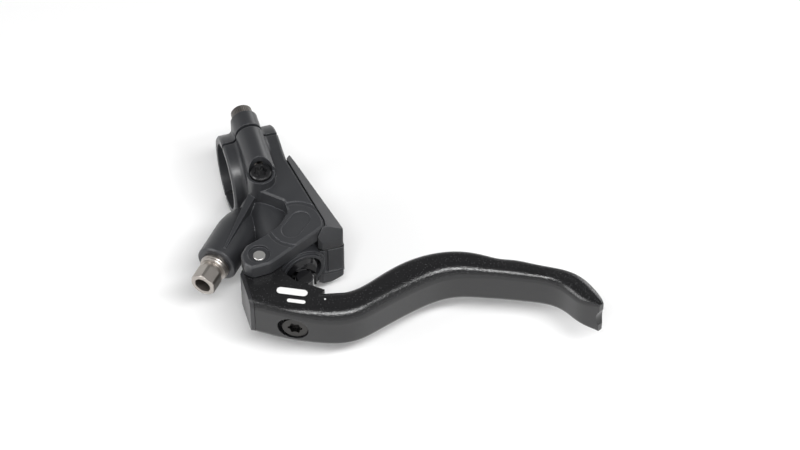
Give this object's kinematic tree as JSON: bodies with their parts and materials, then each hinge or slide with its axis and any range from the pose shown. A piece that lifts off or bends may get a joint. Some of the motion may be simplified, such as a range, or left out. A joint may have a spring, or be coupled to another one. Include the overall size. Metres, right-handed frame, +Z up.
{
  "type": "bicycle brake lever",
  "caption": "Hydraulic brake lever for a flat bar: moulded master cylinder with split bar clamp, side hose port and a long hooked blade with reach screw.",
  "frame": {"origin": "middle of the handlebar clamp's bore, on its axis", "axes": "+X along the handlebar towards the blade's tip, +Z up through the clamp bolts, -Y forwards to the blade"},
  "size_m": [0.1231, 0.1056, 0.0406],
  "materials": {
    "body_plastic": "satin, fibre-filled",
    "cover_plastic": "matt, fine grain",
    "rubber_black": "glossy",
    "dark_steel": "black oxide",
    "screw_plastic": "satin",
    "spring_steel": "plain",
    "barrel_plastic": "glossy",
    "bright_steel": "ground",
    "nut_steel": "satin, warm grey",
    "olive_brass": "plain",
    "piston_alloy": "anodised",
    "bush_bronze": "plain",
    "blade_alloy": "satin black, fine sparkling grain",
    "cap_plastic": "satin"
  },
  "bodies": {
    "master": {"housing": "body_plastic", "bar_clamp": "body_plastic", "clamp_bolts": "dark_steel", "bleed_screw": "screw_plastic", "bleed_screw_seal": "rubber_black", "reservoir_cover": "cover_plastic", "reservoir_diaphragm": "rubber_black", "reservoir_base": "cover_plastic", "return_spring": "spring_steel", "retaining_ring": "spring_steel", "dust_boot": "rubber_black", "pivot_pin": "bright_steel", "hose_nut": "nut_steel", "hose_olive": "olive_brass"},
    "cross_barrel": {"cross_barrel": "barrel_plastic"},
    "blade": {"lever_blade": "blade_alloy", "blade_end_cap": "cap_plastic", "pivot_bushes": "bush_bronze"},
    "reach_screw": {"reach_screw": "dark_steel", "reach_screw_clip": "spring_steel"},
    "piston": {"master_piston": "piston_alloy", "primary_seal": "rubber_black", "secondary_seal": "rubber_black"},
    "push_rod": {"push_rod": "bright_steel"}
  },
  "joints": [
    {"name": "lever_pull", "type": "hinge", "parent": "master", "child": "cross_barrel", "pos_m": [-0.0093, -0.046, 0], "axis": [0, 0, 1], "range_deg": [0, 20], "stiffness_Nm_per_rad": 0.4, "springref_deg": -17.19},
    {"name": "reach_adjust", "type": "hinge", "parent": "cross_barrel", "child": "blade", "pos_m": [-0.0093, -0.046, 0], "axis": [0, 0, 1], "range_deg": [-3.5, 3.5]},
    {"name": "reach_screw_turn", "type": "hinge", "parent": "blade", "child": "reach_screw", "pos_m": [-0.00384, -0.06825, -0.0006], "axis": [0.4305, 0.9026, 0], "range_deg": [-450, 450]},
    {"name": "piston_stroke", "type": "slide", "parent": "master", "child": "piston", "axis": [-0.1736, 0.9848, 0], "range_m": [0, 0.0048], "deforming": ["return_spring", "dust_boot"]},
    {"name": "push_rod_swing", "type": "hinge", "parent": "piston", "child": "push_rod", "pos_m": [0.00324, -0.03634, -0.0006], "axis": [0, 0, 1], "range_deg": [0, 8]}
  ],
  "couplings": [
    {"joint": "reach_adjust", "follows": "reach_screw_turn", "ratio": 0.00768},
    {"joint": "piston_stroke", "follows": "lever_pull", "m_per_rad": 0.0135},
    {"joint": "push_rod_swing", "follows": "lever_pull", "ratio": 0.3908}
  ]
}
